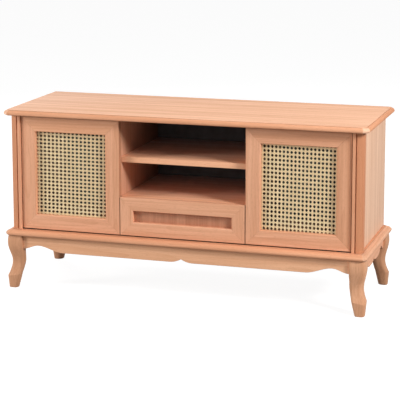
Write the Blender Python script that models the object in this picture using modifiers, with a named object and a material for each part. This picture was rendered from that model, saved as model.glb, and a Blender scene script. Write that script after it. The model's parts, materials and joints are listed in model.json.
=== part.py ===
"""Beech media console: two cane doors, an open bay with a shelf, and a drawer, on cabriole legs.

Metres, +Z up, +X to the right of someone facing the doors, -Y towards them.
The origin is on the floor, under the middle of the top board.
"""
import math

import bmesh
import bpy
from mathutils import Matrix, Vector

# Overall size and the boards
WIDTH = 1.200
DEPTH = 0.428
HEIGHT = 0.590
TOP_THICKNESS = 0.018
BASE_THICKNESS = 0.0205
SIDE_THICKNESS = 0.018
PARTITION_THICKNESS = 0.018
SHELF_THICKNESS = 0.018
BACK_THICKNESS = 0.006
LEG_HEIGHT = 0.175
FIT = 0.0003

# Top and base mouldings
TOP_MOULD = 0.011
TOP_QUIRK = 0.002
TOP_UNDERCUT = 0.006
TOP_CANT = 0.018
TOP_BACK_OVERHANG = 0.005
BASE_SETBACK = 0.001
BASE_MOULD = 0.013
BASE_CANT = 0.012
BASE_UNDERCUT = 0.008

# Where the case stands inside the top's edge
DOOR_SETBACK = 0.029
SIDE_SETBACK = 0.0279
POST_SIDE_PROUD = 0.008
POST_PROUD = 0.006
POST_WIDTH = 0.0341
POST_DEPTH = 0.036
POST_STRIP = 0.010
POST_GROOVE = 0.0035
POST_GROOVE_DEPTH = 0.006
POST_CHAMFER = 0.011

# Middle bay
BAY_WIDTH = 0.418
SHELF_TOP = 0.450
DRAWER_TOP = 0.322
BOARD_TO_DOOR = 0.002

# Doors and drawer front
DOOR_THICKNESS = 0.020
DOOR_SIDE_GAP = 0.0025
DOOR_TOP_GAP = 0.005
DOOR_BOTTOM_GAP = 0.0035
DOOR_FRAME = 0.0475
DOOR_BEVEL = 0.0025
REBATE_WIDTH = 0.008
CANE_SETBACK = 0.0125
CANE_THICKNESS = 0.0015
CANE_COLUMNS = 13
CANE_ROWS = 15
CANE_STRAND = 0.0115
MITRE_GAP = 0.0002
DRAWER_GAP = 0.0025
DRAWER_FRAME = 0.043
DRAWER_BEVEL = 0.002
RECESS_DEPTH = 0.014

# Drawer box and runners
DRAWER_BACK_GAP = 0.0277
DRAWER_SIDE_THICKNESS = 0.012
DRAWER_SIDE_HEIGHT = 0.084
DRAWER_LIFT = 0.011
DRAWER_BOTTOM_THICKNESS = 0.006
DRAWER_BOTTOM_LIFT = 0.006
RUNNER_WIDTH = 0.0127
RUNNER_HEIGHT = 0.036
RUNNER_STEEL = 0.0012
RUNNER_PLAY = 0.0005
RUNNER_FRONT_GAP = 0.006
RUNNER_BACK_GAP = 0.030

# Pivot hinges and push latches
PIVOT_INSET = 0.012
PIVOT_SETBACK = 0.006
PIN_RADIUS = 0.0025
PIN_REACH = 0.0055
PLATE_LENGTH = 0.038
PLATE_END = 0.008
PLATE_WIDTH = 0.011
PLATE_THICKNESS = 0.0016
LATCH_WIDTH = 0.014
LATCH_HEIGHT = 0.014
LATCH_LENGTH = 0.056
LATCH_DROP = 0.060
LATCH_NOSE = 0.004
PLUNGER_RADIUS = 0.0035
PLUNGER_LENGTH = 0.036
PLUNGER_TRAVEL = 0.003
ROUND_SIDES = 16

# Legs and aprons
LEG_WIDTH = 0.052
LEG_SETBACK = 0.006
LEG_TOP_OUT = 0.049
LEG_KNEE_HEIGHT = 0.147
LEG_ANKLE_HEIGHT = 0.084
LEG_ANKLE_OUT = 0.0425
LEG_TOE_HEIGHT = 0.0395
LEG_TOE_OUT = 0.0531
LEG_FOOT_OUT = 0.0502
LEG_FOOT_IN = 0.0202
LEG_SWEEP_HEIGHT = 0.125
LEG_SWEEP_CURVE = 1.57
LEG_TOE_CURVE = 1.7
LEG_ROUND = 0.011
LEG_EDGE_ROUND = 0.009
LEG_INNER_ROUND = 0.024
LEG_RINGS = 4
CORNER_STEPS = 4
APRON_THICKNESS = 0.018
APRON_SETBACK = 0.012
APRON_DEPTH = 0.050
APRON_END_RISE = 0.0056
APRON_CREST_RISE = 0.019
FRONT_CREST_INSET = 0.0525
FRONT_CURVE_LENGTH = 0.085
SIDE_CREST_INSET = 0.0315
SIDE_CURVE_LENGTH = 0.056
NOTCH_RISE = 0.0106
NOTCH_HALF_WIDTH = 0.038
CURVE_STEPS = 8

# Places that follow from the sizes above
TOP_FRONT = -DEPTH / 2
TOP_BACK = DEPTH / 2
TOP_UNDERSIDE = HEIGHT - TOP_THICKNESS
BASE_TOP = LEG_HEIGHT + BASE_THICKNESS
BASE_FRONT = TOP_FRONT + BASE_SETBACK
BASE_HALF = WIDTH / 2 - BASE_SETBACK
CASE_BACK = TOP_BACK - TOP_BACK_OVERHANG
BACK_FACE = CASE_BACK - BACK_THICKNESS
DOOR_FACE = TOP_FRONT + DOOR_SETBACK
DOOR_BACK = DOOR_FACE + DOOR_THICKNESS
BOARD_FRONT = DOOR_BACK + BOARD_TO_DOOR
SIDE_OUT = WIDTH / 2 - SIDE_SETBACK
POST_OUT = SIDE_OUT + POST_SIDE_PROUD
POST_IN = POST_OUT - POST_WIDTH
POST_FRONT = DOOR_FACE - POST_PROUD
POST_BACK = POST_FRONT + POST_DEPTH
DOOR_OUT = POST_IN - DOOR_SIDE_GAP
BAY_HALF = BAY_WIDTH / 2
DOOR_IN = BAY_HALF
DOOR_BOTTOM = BASE_TOP + DOOR_BOTTOM_GAP
DOOR_TOP = TOP_UNDERSIDE - DOOR_TOP_GAP
PIVOT_X = DOOR_OUT - PIVOT_INSET
PIVOT_Y = DOOR_FACE + PIVOT_SETBACK
LEG_IN_X = BASE_HALF - LEG_SETBACK - LEG_WIDTH
LEG_IN_FRONT = BASE_FRONT + LEG_SETBACK + LEG_WIDTH
LEG_IN_BACK = CASE_BACK - LEG_WIDTH
APRON_TOP = LEG_HEIGHT - FIT
APRON_BOTTOM = LEG_HEIGHT - APRON_DEPTH

FINISHES = {
    "beech": ((0.72, 0.37, 0.21, 1.0), 0.62, 0.0),
    "panel_wood": ((0.48, 0.21, 0.12, 1.0), 0.70, 0.0),
    "cane": ((0.74, 0.58, 0.30, 1.0), 0.55, 0.0),
    "board": ((0.26, 0.13, 0.09, 1.0), 0.80, 0.0),
    "steel": ((0.62, 0.63, 0.65, 1.0), 0.35, 1.0),
    "plastic": ((0.10, 0.10, 0.11, 1.0), 0.50, 0.0),
}


def clear_scene():
    """Remove whatever the scene holds."""
    for old in list(bpy.data.objects):
        bpy.data.objects.remove(old, do_unlink=True)


def new_collection(name):
    """A collection under the scene's own."""
    collection = bpy.data.collections.new(name)
    bpy.context.scene.collection.children.link(collection)
    return collection


def make_materials():
    """One Principled material for each finish."""
    materials = {}
    for name, (colour, roughness, metallic) in FINISHES.items():
        material = bpy.data.materials.new(name)
        material.use_nodes = True
        shader = material.node_tree.nodes["Principled BSDF"]
        shader.inputs["Base Color"].default_value = colour
        shader.inputs["Roughness"].default_value = roughness
        shader.inputs["Metallic"].default_value = metallic
        material.diffuse_color = colour
        materials[name] = material
    return materials


clear_scene()
PARTS = new_collection("media_console")
CUTTERS = new_collection("media_console_cutters")
MATERIALS = make_materials()


def add_object(name, data, finish, carrier=None):
    """Put mesh or curve data into the collection, on its carrier, with its finish."""
    item = bpy.data.objects.new(name, data)
    PARTS.objects.link(item)
    data.materials.append(MATERIALS[finish])
    if carrier is not None:
        item.parent = carrier
        item.matrix_parent_inverse = Matrix.Translation(carrier.location).inverted()
    return item


def carrier_at(name, place):
    """An empty on a moving body's axis, which carries that body's pieces."""
    empty = bpy.data.objects.new(name, None)
    PARTS.objects.link(empty)
    empty.location = place
    return empty


def box_mesh(name, size):
    """A cube primitive brought to size."""
    mesh = bpy.data.meshes.new(name)
    shape = bmesh.new()
    bmesh.ops.create_cube(shape, size=1.0)
    bmesh.ops.scale(shape, vec=size, verts=shape.verts)
    shape.to_mesh(mesh)
    shape.free()
    return mesh


def board(name, low, high, finish, carrier=None):
    """A plain board between two corners."""
    low = Vector(low)
    high = Vector(high)
    item = add_object(name, box_mesh(name, high - low), finish, carrier)
    item.location = (low + high) / 2
    return item


def rod_mesh(name, radius, length):
    """A round rod along Z, centred on its middle."""
    mesh = bpy.data.meshes.new(name)
    shape = bmesh.new()
    bmesh.ops.create_cone(shape, cap_ends=True, segments=ROUND_SIDES, radius1=radius, radius2=radius,
                          depth=length)
    shape.to_mesh(mesh)
    shape.free()
    return mesh


def add_cutter(name, mesh, place, turn=(0.0, 0.0, 0.0)):
    """A hidden shape for a Boolean."""
    cutter = bpy.data.objects.new(name, mesh)
    CUTTERS.objects.link(cutter)
    cutter.location = place
    cutter.rotation_euler = turn
    cutter.hide_render = True
    cutter.display_type = "WIRE"
    return cutter


def boolean(item, cutter, operation):
    """Cut from, or join to, an object."""
    step = item.modifiers.new(cutter.name, "BOOLEAN")
    step.operation = operation
    step.object = cutter


def prism(name, outline, plane, start, end, finish, carrier=None):
    """A flat outline in plane XY, XZ or YZ, given its thickness along the third axis."""
    curve = bpy.data.curves.new(name, "CURVE")
    curve.dimensions = "2D"
    curve.fill_mode = "BOTH"
    curve.extrude = (end - start) / 2
    spline = curve.splines.new("POLY")
    spline.points.add(len(outline) - 1)
    for point, (across, along) in zip(spline.points, outline):
        point.co = (across, along, 0.0, 1.0)
    spline.use_cyclic_u = True
    item = add_object(name, curve, finish, carrier)
    quarter = math.pi / 2
    turns = {"XY": (0.0, 0.0, 0.0), "XZ": (quarter, 0.0, 0.0), "YZ": (quarter, 0.0, quarter)}
    middle = (start + end) / 2
    places = {"XY": (0.0, 0.0, middle), "XZ": (0.0, middle, 0.0), "YZ": (middle, 0.0, 0.0)}
    item.rotation_euler = turns[plane]
    item.location = places[plane]
    return item


def loft(name, rings, finish, carrier=None):
    """A closed skin over a stack of rings with the same number of points."""
    mesh = bpy.data.meshes.new(name)
    shape = bmesh.new()
    loops = [[shape.verts.new(point) for point in ring] for ring in rings]
    count = len(loops[0])
    for lower, upper in zip(loops, loops[1:]):
        for index in range(count):
            following = (index + 1) % count
            shape.faces.new((lower[index], lower[following], upper[following], upper[index]))
    shape.faces.new(loops[0])
    shape.faces.new(loops[-1])
    bmesh.ops.recalc_face_normals(shape, faces=shape.faces)
    shape.to_mesh(mesh)
    shape.free()
    return add_object(name, mesh, finish, carrier)


def ease(share):
    """Level at both ends, steepest in the middle, from 0 to 1."""
    return share * share * (3.0 - 2.0 * share)


def steps(count):
    """Shares from just after 0 up to 1."""
    return [(index + 1) / count for index in range(count)]


def canted_outline(half_width, front, back, cant, inset, height):
    """A board's outline with canted front corners, drawn in from its front and ends."""
    half = half_width - inset
    edge = front + inset
    cut = cant - inset * (2.0 - math.sqrt(2.0))
    return [
        (-half, back, height),
        (-half, edge + cut, height),
        (-half + cut, edge, height),
        (half - cut, edge, height),
        (half, edge + cut, height),
        (half, back, height),
    ]


def moulded_board(name, half_width, front, back, cant, top, section):
    """A board whose edge follows a section of (inset, drop) pairs, from its top face down."""
    rings = [canted_outline(half_width, front, back, cant, inset, top - drop) for inset, drop in section]
    return loft(name, rings, "beech")


def thumb_round(mould, start, end, undercut):
    """A round edge between two drops, in (inset, drop): a long fall to the nose, then a short undercut."""
    nose = end - undercut
    section = [(mould, start)]
    for share in steps(CURVE_STEPS):
        turn = share * math.pi / 2
        section.append((mould * (1.0 - math.sin(turn)), start + (nose - start) * (1.0 - math.cos(turn))))
    for share in steps(CURVE_STEPS):
        turn = share * math.pi / 2
        section.append((undercut * (1.0 - math.cos(turn)), nose + undercut * math.sin(turn)))
    return section


def make_case():
    """Top, base, sides, posts, partitions, shelf, divider and back."""
    section = [(TOP_MOULD, 0.0)] + thumb_round(TOP_MOULD, TOP_QUIRK, TOP_THICKNESS, TOP_UNDERCUT)
    moulded_board("top_board", WIDTH / 2, TOP_FRONT, TOP_BACK, TOP_CANT, HEIGHT, section)
    section = thumb_round(BASE_MOULD, 0.0, BASE_THICKNESS, BASE_UNDERCUT)
    moulded_board("base_board", BASE_HALF, BASE_FRONT, CASE_BACK, BASE_CANT, BASE_TOP, section)
    low = BASE_TOP + FIT
    high = TOP_UNDERSIDE - FIT
    for side, sign in (("left", -1.0), ("right", 1.0)):
        edges = sorted((sign * (SIDE_OUT - SIDE_THICKNESS), sign * SIDE_OUT))
        board(f"{side}_side_panel", (edges[0], POST_BACK + FIT, low), (edges[1], CASE_BACK, high), "beech")
        prism(f"front_{side}_post", post_outline(sign), "XY", low, high, "beech")
        edges = sorted((sign * BAY_HALF, sign * (BAY_HALF + PARTITION_THICKNESS)))
        board(f"{side}_partition", (edges[0], BOARD_FRONT, low), (edges[1], BACK_FACE - FIT, high), "beech")
    inside = BAY_HALF - FIT
    for name, top in (("open_shelf", SHELF_TOP), ("drawer_divider", DRAWER_TOP)):
        board(name, (-inside, BOARD_FRONT, top - SHELF_THICKNESS), (inside, BACK_FACE - FIT, top), "beech")
    reach = SIDE_OUT - SIDE_THICKNESS - FIT
    board("back_panel", (-reach, BACK_FACE, low), (reach, CASE_BACK, high), "board")


def post_outline(sign):
    """Seen from above: a flat strip, a square groove, then a face canted back to the side."""
    groove = POST_IN + POST_STRIP
    outline = [
        (POST_IN, POST_FRONT),
        (groove, POST_FRONT),
        (groove, POST_FRONT + POST_GROOVE_DEPTH),
        (groove + POST_GROOVE, POST_FRONT + POST_GROOVE_DEPTH),
        (groove + POST_GROOVE, POST_FRONT),
        (POST_OUT, POST_FRONT + POST_CHAMFER),
        (POST_OUT, POST_BACK),
        (POST_IN, POST_BACK),
    ]
    return [(sign * across, along) for across, along in outline]


def leg_reach(height):
    """How far a leg's outer and inner faces stand from the inner faces of its block."""
    if height <= LEG_TOE_HEIGHT:
        share = height / LEG_TOE_HEIGHT
        out = LEG_FOOT_OUT + (LEG_TOE_OUT - LEG_FOOT_OUT) * share
    elif height <= LEG_ANKLE_HEIGHT:
        share = (LEG_ANKLE_HEIGHT - height) / (LEG_ANKLE_HEIGHT - LEG_TOE_HEIGHT)
        out = LEG_ANKLE_OUT + (LEG_TOE_OUT - LEG_ANKLE_OUT) * share ** LEG_TOE_CURVE
    elif height <= LEG_KNEE_HEIGHT:
        share = (height - LEG_ANKLE_HEIGHT) / (LEG_KNEE_HEIGHT - LEG_ANKLE_HEIGHT)
        out = LEG_ANKLE_OUT + (LEG_WIDTH - LEG_ANKLE_OUT) * ease(share)
    else:
        share = (height - LEG_KNEE_HEIGHT) / (LEG_HEIGHT - LEG_KNEE_HEIGHT)
        out = LEG_WIDTH + (LEG_TOP_OUT - LEG_WIDTH) * share * share
    swept = max(0.0, 1.0 - height / LEG_SWEEP_HEIGHT)
    return out, LEG_FOOT_IN * swept ** LEG_SWEEP_CURVE


def leg_heights():
    """Ring heights: close together where the leg bends."""
    stops = [0.0, LEG_TOE_HEIGHT, LEG_ANKLE_HEIGHT, LEG_KNEE_HEIGHT, LEG_HEIGHT - FIT]
    heights = [0.0]
    for low, high in zip(stops, stops[1:]):
        heights.extend(low + (high - low) * share for share in steps(LEG_RINGS))
    return heights


def leg_ring(corner, toward, height):
    """A square with rounded corners, the inner one most, spread outwards along X and Y alike."""
    out, inner = leg_reach(height)
    rounds = (LEG_ROUND, LEG_EDGE_ROUND, min(LEG_INNER_ROUND, (out - inner) / 2), LEG_EDGE_ROUND)
    ring = []
    for quarter, radius in enumerate(rounds):
        start = quarter * math.pi / 2
        across = (out - radius) if quarter in (0, 3) else (inner + radius)
        along = (out - radius) if quarter in (0, 1) else (inner + radius)
        for share in [0.0] + steps(CORNER_STEPS):
            turn = start + share * math.pi / 2
            reach_x = across + radius * math.cos(turn)
            reach_y = along + radius * math.sin(turn)
            ring.append((corner[0] + toward[0] * reach_x, corner[1] + toward[1] * reach_y, height))
    return ring


def apron_edge(length, crest_inset, curve_length):
    """The lower edge of a scalloped apron from one end to the middle of its run, in (along, height)."""
    end = APRON_BOTTOM + APRON_END_RISE
    crest = APRON_BOTTOM + APRON_CREST_RISE
    edge = [(0.0, end)]
    for share in steps(CURVE_STEPS):
        edge.append((crest_inset * share, end + (crest - end) * ease(share)))
    for share in steps(CURVE_STEPS):
        along = crest_inset + curve_length * share
        edge.append((along, crest + (APRON_BOTTOM - crest) * ease(share)))
    middle = length / 2
    edge.append((middle - NOTCH_HALF_WIDTH, APRON_BOTTOM))
    for share in steps(CURVE_STEPS):
        along = middle - NOTCH_HALF_WIDTH * (1.0 - share)
        edge.append((along, APRON_BOTTOM + NOTCH_RISE * share * share))
    return edge


def apron_outline(start, end, crest_inset, curve_length):
    """Straight along the top, scalloped alike from both ends below."""
    length = end - start
    edge = apron_edge(length, crest_inset, curve_length)
    far_edge = [(length - along, height) for along, height in reversed(edge[:-1])]
    outline = [(start + along, height) for along, height in edge + far_edge]
    return outline + [(end, APRON_TOP), (start, APRON_TOP)]


def make_stand():
    """Four legs and the aprons between them."""
    corners = {
        "front_left_leg": ((-LEG_IN_X, LEG_IN_FRONT), (-1.0, -1.0)),
        "front_right_leg": ((LEG_IN_X, LEG_IN_FRONT), (1.0, -1.0)),
        "rear_left_leg": ((-LEG_IN_X, LEG_IN_BACK), (-1.0, 1.0)),
        "rear_right_leg": ((LEG_IN_X, LEG_IN_BACK), (1.0, 1.0)),
    }
    for name, (corner, toward) in corners.items():
        loft(name, [leg_ring(corner, toward, height) for height in leg_heights()], "beech")
    run = LEG_IN_X - FIT
    front = LEG_IN_FRONT - LEG_WIDTH + APRON_SETBACK
    outline = apron_outline(-run, run, FRONT_CREST_INSET, FRONT_CURVE_LENGTH)
    prism("front_apron", outline, "XZ", front, front + APRON_THICKNESS, "beech")
    back = CASE_BACK - APRON_SETBACK
    board("rear_apron", (-run, back - APRON_THICKNESS, APRON_BOTTOM), (run, back, APRON_TOP), "beech")
    outside = LEG_IN_X + LEG_WIDTH - APRON_SETBACK
    outline = apron_outline(LEG_IN_FRONT + FIT, LEG_IN_BACK - FIT, SIDE_CREST_INSET, SIDE_CURVE_LENGTH)
    prism("left_apron", outline, "YZ", -outside, -outside + APRON_THICKNESS, "beech")
    prism("right_apron", outline, "YZ", outside - APRON_THICKNESS, outside, "beech")


def frame_section(width, bevel, ledge, rebate):
    """A frame member cut across, in (distance in from the outer edge, depth): bevel, ledge and rebate."""
    return [
        (0.0, 0.0),
        (width - bevel, 0.0),
        (width, bevel),
        (width, ledge),
        (width - rebate, ledge),
        (width - rebate, DOOR_THICKNESS),
        (0.0, DOOR_THICKNESS),
    ]


def mitred_member(name, start, end, inward, section, carrier):
    """A frame member between two outer corners, its section cut at 45 degrees at both ends."""
    start = Vector((start[0], DOOR_FACE, start[1]))
    end = Vector((end[0], DOOR_FACE, end[1]))
    inward = Vector((inward[0], 0.0, inward[1]))
    along = (end - start).normalized()
    rings = []
    for corner, way in ((start, along), (end, -along)):
        ring = []
        for across, depth in section:
            point = corner + inward * across + way * (across + MITRE_GAP)
            ring.append((point.x, point.y + depth, point.z))
        rings.append(ring)
    return loft(name, rings, "beech", carrier)


def cane_lines(count, low, high, border):
    """Where strands and gaps meet along one way of the net, with a border at both ends."""
    pitch = (high - low) / count
    half_gap = (pitch - CANE_STRAND) / 2
    lines = [low - border]
    for index in range(count):
        middle = low + pitch * (index + 0.5)
        lines.extend((middle - half_gap, middle + half_gap))
    lines.append(high + border)
    return lines


def cane_net(name, low, high, border, carrier):
    """A flat net: a grid with every gap cell left out, then given the cane's thickness."""
    columns = 2 * CANE_COLUMNS + 1
    rows = 2 * CANE_ROWS + 1
    mesh = bpy.data.meshes.new(name)
    net = bmesh.new()
    bmesh.ops.create_grid(net, x_segments=columns, y_segments=rows, size=0.5)
    gaps = []
    for face in net.faces:
        middle = face.calc_center_median()
        column = int((middle.x + 0.5) * columns)
        row = int((middle.y + 0.5) * rows)
        if column % 2 and row % 2:
            gaps.append(face)
    across = cane_lines(CANE_COLUMNS, low[0], high[0], border)
    upward = cane_lines(CANE_ROWS, low[1], high[1], border)
    for point in net.verts:
        column = round((point.co.x + 0.5) * columns)
        row = round((point.co.y + 0.5) * rows)
        point.co = (across[column], 0.0, upward[row])
    bmesh.ops.delete(net, geom=gaps, context="FACES_ONLY")
    bmesh.ops.recalc_face_normals(net, faces=net.faces)
    net.to_mesh(mesh)
    net.free()
    item = add_object(name, mesh, "cane", carrier)
    item.location.y = DOOR_FACE + CANE_SETBACK + FIT + CANE_THICKNESS / 2
    skin = item.modifiers.new("thickness", "SOLIDIFY")
    skin.thickness = CANE_THICKNESS
    skin.offset = 0.0
    return item


def make_door(side, sign):
    """Mitred frame, cane panel and the four beads that hold the cane, on the door's axis."""
    carrier = carrier_at(f"{side}_door_axis", (sign * PIVOT_X, PIVOT_Y, DOOR_BOTTOM))
    section = frame_section(DOOR_FRAME, DOOR_BEVEL, CANE_SETBACK, REBATE_WIDTH)
    outer = sign * DOOR_OUT
    inner = sign * DOOR_IN
    mitred_member(f"{side}_door_outer_stile", (outer, DOOR_BOTTOM), (outer, DOOR_TOP), (-sign, 0.0),
                  section, carrier)
    mitred_member(f"{side}_door_inner_stile", (inner, DOOR_BOTTOM), (inner, DOOR_TOP), (sign, 0.0),
                  section, carrier)
    top_rail = mitred_member(f"{side}_door_top_rail", (inner, DOOR_TOP), (outer, DOOR_TOP), (0.0, -1.0),
                             section, carrier)
    bottom_rail = mitred_member(f"{side}_door_bottom_rail", (inner, DOOR_BOTTOM), (outer, DOOR_BOTTOM),
                                (0.0, 1.0), section, carrier)
    depth = PIN_REACH + FIT
    bore = rod_mesh(f"{side}_pin_bore", PIN_RADIUS + FIT, 2.0 * depth)
    for rail, height in ((top_rail, DOOR_TOP), (bottom_rail, DOOR_BOTTOM)):
        cutter = add_cutter(f"{rail.name}_bore", bore, (sign * PIVOT_X, PIVOT_Y, height))
        boolean(rail, cutter, "DIFFERENCE")
    edges = sorted((sign * (DOOR_OUT - DOOR_FRAME), sign * (DOOR_IN + DOOR_FRAME)))
    low = (edges[0], DOOR_BOTTOM + DOOR_FRAME)
    high = (edges[1], DOOR_TOP - DOOR_FRAME)
    border = REBATE_WIDTH - FIT
    cane_net(f"{side}_door_cane", low, high, border, carrier)
    near = DOOR_FACE + CANE_SETBACK + CANE_THICKNESS + 2.0 * FIT
    left = (low[0] - border, low[0])
    right = (high[0], high[0] + border)
    ends = {"outer": right, "inner": left} if sign > 0 else {"outer": left, "inner": right}
    for place, (start, end) in ends.items():
        board(f"{side}_door_{place}_bead", (start, near, low[1] - border), (end, DOOR_BACK, high[1] + border),
              "beech", carrier)
    levels = {"top": (high[1], high[1] + border), "bottom": (low[1] - border, low[1])}
    for place, (start, end) in levels.items():
        board(f"{side}_door_{place}_bead", (low[0] + FIT, near, start), (high[0] - FIT, DOOR_BACK, end),
              "beech", carrier)


def make_pivots(side, sign):
    """A plate with its pin, under the top board and on the base board."""
    edges = sorted((sign * (PIVOT_X + PLATE_END), sign * (PIVOT_X + PLATE_END - PLATE_LENGTH)))
    near = PIVOT_Y - PLATE_WIDTH / 2
    far = PIVOT_Y + PLATE_WIDTH / 2
    sink = FIT + PLATE_THICKNESS / 2
    seats = (
        ("upper", TOP_UNDERSIDE, DOOR_TOP - PIN_REACH, -1.0),
        ("lower", BASE_TOP, DOOR_BOTTOM + PIN_REACH, 1.0),
    )
    for level, seat, pin_end, way in seats:
        heights = sorted((seat + way * FIT, seat + way * (FIT + PLATE_THICKNESS)))
        plate = board(f"{side}_{level}_pivot_plate", (edges[0], near, heights[0]),
                      (edges[1], far, heights[1]), "steel")
        pin_start = seat + way * sink
        pin = rod_mesh(f"{plate.name}_pin", PIN_RADIUS, abs(pin_end - pin_start))
        middle = (pin_start + pin_end) / 2
        boolean(plate, add_cutter(f"{plate.name}_pin", pin, (sign * PIVOT_X, PIVOT_Y, middle)), "UNION")


def make_latch(side, sign):
    """Housing on the partition, and the plunger that the closed door rests on."""
    edges = sorted((sign * (BAY_HALF + PARTITION_THICKNESS + FIT),
                    sign * (BAY_HALF + PARTITION_THICKNESS + FIT + LATCH_WIDTH)))
    across = (edges[0] + edges[1]) / 2
    high = TOP_UNDERSIDE - LATCH_DROP
    front = DOOR_BACK + LATCH_NOSE
    housing = board(f"{side}_latch_housing", (edges[0], front, high - LATCH_HEIGHT),
                    (edges[1], front + LATCH_LENGTH, high), "plastic")
    level = high - LATCH_HEIGHT / 2
    quarter = math.pi / 2
    plunger_front = DOOR_BACK + FIT
    bore_end = plunger_front + PLUNGER_LENGTH + PLUNGER_TRAVEL + FIT
    bore_length = 2.0 * (bore_end - front)
    bore = rod_mesh(f"{side}_latch_bore", PLUNGER_RADIUS + FIT, bore_length)
    boolean(housing, add_cutter(f"{side}_latch_bore", bore, (across, front, level), (quarter, 0.0, 0.0)),
            "DIFFERENCE")
    carrier = carrier_at(f"{side}_latch_axis", (across, plunger_front, level))
    plunger = add_object(f"{side}_latch_plunger", rod_mesh(f"{side}_latch_plunger", PLUNGER_RADIUS,
                                                           PLUNGER_LENGTH), "plastic", carrier)
    plunger.location = (across, plunger_front + PLUNGER_LENGTH / 2, level)
    plunger.rotation_euler = (quarter, 0.0, 0.0)


def channel(start, end, height, level, sign):
    """A C section in (across, height): its web at start, its lips reaching to end."""
    way = 1.0 if end > start else -1.0
    web = start + way * RUNNER_STEEL
    half = height / 2
    lip = half - RUNNER_STEEL
    outline = [(start, -half), (end, -half), (end, -lip), (web, -lip), (web, lip), (end, lip), (end, half),
               (start, half)]
    return [(sign * across, level + up) for across, up in outline]


def make_runner(side, sign, drawer, level):
    """Three nested channels: one on the partition, one on the drawer, and one between them."""
    near = BOARD_FRONT + RUNNER_FRONT_GAP
    far = BACK_FACE - RUNNER_BACK_GAP
    seat = BAY_HALF - FIT
    drawer_seat = BAY_HALF - RUNNER_WIDTH + FIT
    step = RUNNER_STEEL + RUNNER_PLAY
    lip_end = drawer_seat + step
    middle_height = RUNNER_HEIGHT - 2.0 * step
    inner_height = middle_height - 2.0 * step
    case = channel(seat, lip_end, RUNNER_HEIGHT, level, sign)
    prism(f"{side}_runner_case_member", case, "XZ", near, far, "steel")
    carrier = carrier_at(f"{side}_runner_axis", (sign * seat, near, level))
    middle = channel(seat - step, lip_end, middle_height, level, sign)
    prism(f"{side}_runner_middle_member", middle, "XZ", near, far, "steel", carrier)
    inner = channel(drawer_seat, seat - 2.0 * step, inner_height, level, sign)
    prism(f"{side}_runner_drawer_member", inner, "XZ", near, far, "steel", drawer)


def make_drawer():
    """Mitred front with its recessed panel, the drawer box, and the runners at its sides."""
    half = BAY_HALF - DRAWER_GAP
    drawer = carrier_at("drawer_axis", (0.0, DOOR_FACE, DOOR_BOTTOM))
    section = frame_section(DRAWER_FRAME, DRAWER_BEVEL, RECESS_DEPTH, REBATE_WIDTH)
    members = (
        ("drawer_front_left_stile", (-half, DOOR_BOTTOM), (-half, DRAWER_TOP), (1.0, 0.0)),
        ("drawer_front_right_stile", (half, DOOR_BOTTOM), (half, DRAWER_TOP), (-1.0, 0.0)),
        ("drawer_front_top_rail", (-half, DRAWER_TOP), (half, DRAWER_TOP), (0.0, -1.0)),
        ("drawer_front_bottom_rail", (-half, DOOR_BOTTOM), (half, DOOR_BOTTOM), (0.0, 1.0)),
    )
    for name, start, end, inward in members:
        mitred_member(name, start, end, inward, section, drawer)
    inset = DRAWER_FRAME - REBATE_WIDTH + FIT
    board("drawer_front_panel", (-half + inset, DOOR_FACE + RECESS_DEPTH + FIT, DOOR_BOTTOM + inset),
          (half - inset, DOOR_BACK, DRAWER_TOP - inset), "panel_wood", drawer)
    low = BASE_TOP + DRAWER_LIFT
    high = low + DRAWER_SIDE_HEIGHT
    near = DOOR_BACK + FIT
    far = BACK_FACE - DRAWER_BACK_GAP
    outside = BAY_HALF - RUNNER_WIDTH
    inside = outside - DRAWER_SIDE_THICKNESS
    for side, sign in (("left", -1.0), ("right", 1.0)):
        edges = sorted((sign * inside, sign * outside))
        board(f"drawer_{side}_side", (edges[0], near, low), (edges[1], far, high), "beech", drawer)
        make_runner(side, sign, drawer, (low + high) / 2)
    width = inside - FIT
    back = far - DRAWER_SIDE_THICKNESS
    board("drawer_back", (-width, back, low), (width, far, high), "beech", drawer)
    floor = low + DRAWER_BOTTOM_LIFT
    board("drawer_bottom", (-width, near, floor), (width, back - FIT, floor + DRAWER_BOTTOM_THICKNESS),
          "board", drawer)


def main():
    """Build the whole console."""
    make_case()
    make_stand()
    for side, sign in (("left", -1.0), ("right", 1.0)):
        make_door(side, sign)
        make_pivots(side, sign)
        make_latch(side, sign)
    make_drawer()


main()
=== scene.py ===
# %% [markdown]
# # A beech media console with cane doors
#
# This lesson dresses a finished CAD model of a low media console. The real thing is raw, sanded
# beech: a moulded top and base, mitred door frames filled with cane webbing, an open bay with a
# shelf, a drawer, scalloped aprons and four cabriole legs. The CAD model already fixes every size
# and joint, so each cell below only builds a finer surface over one group of its pieces.

# %% The fixed frame
import json
import math

import bpy
import numpy as np
from mathutils import Matrix, Vector


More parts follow.
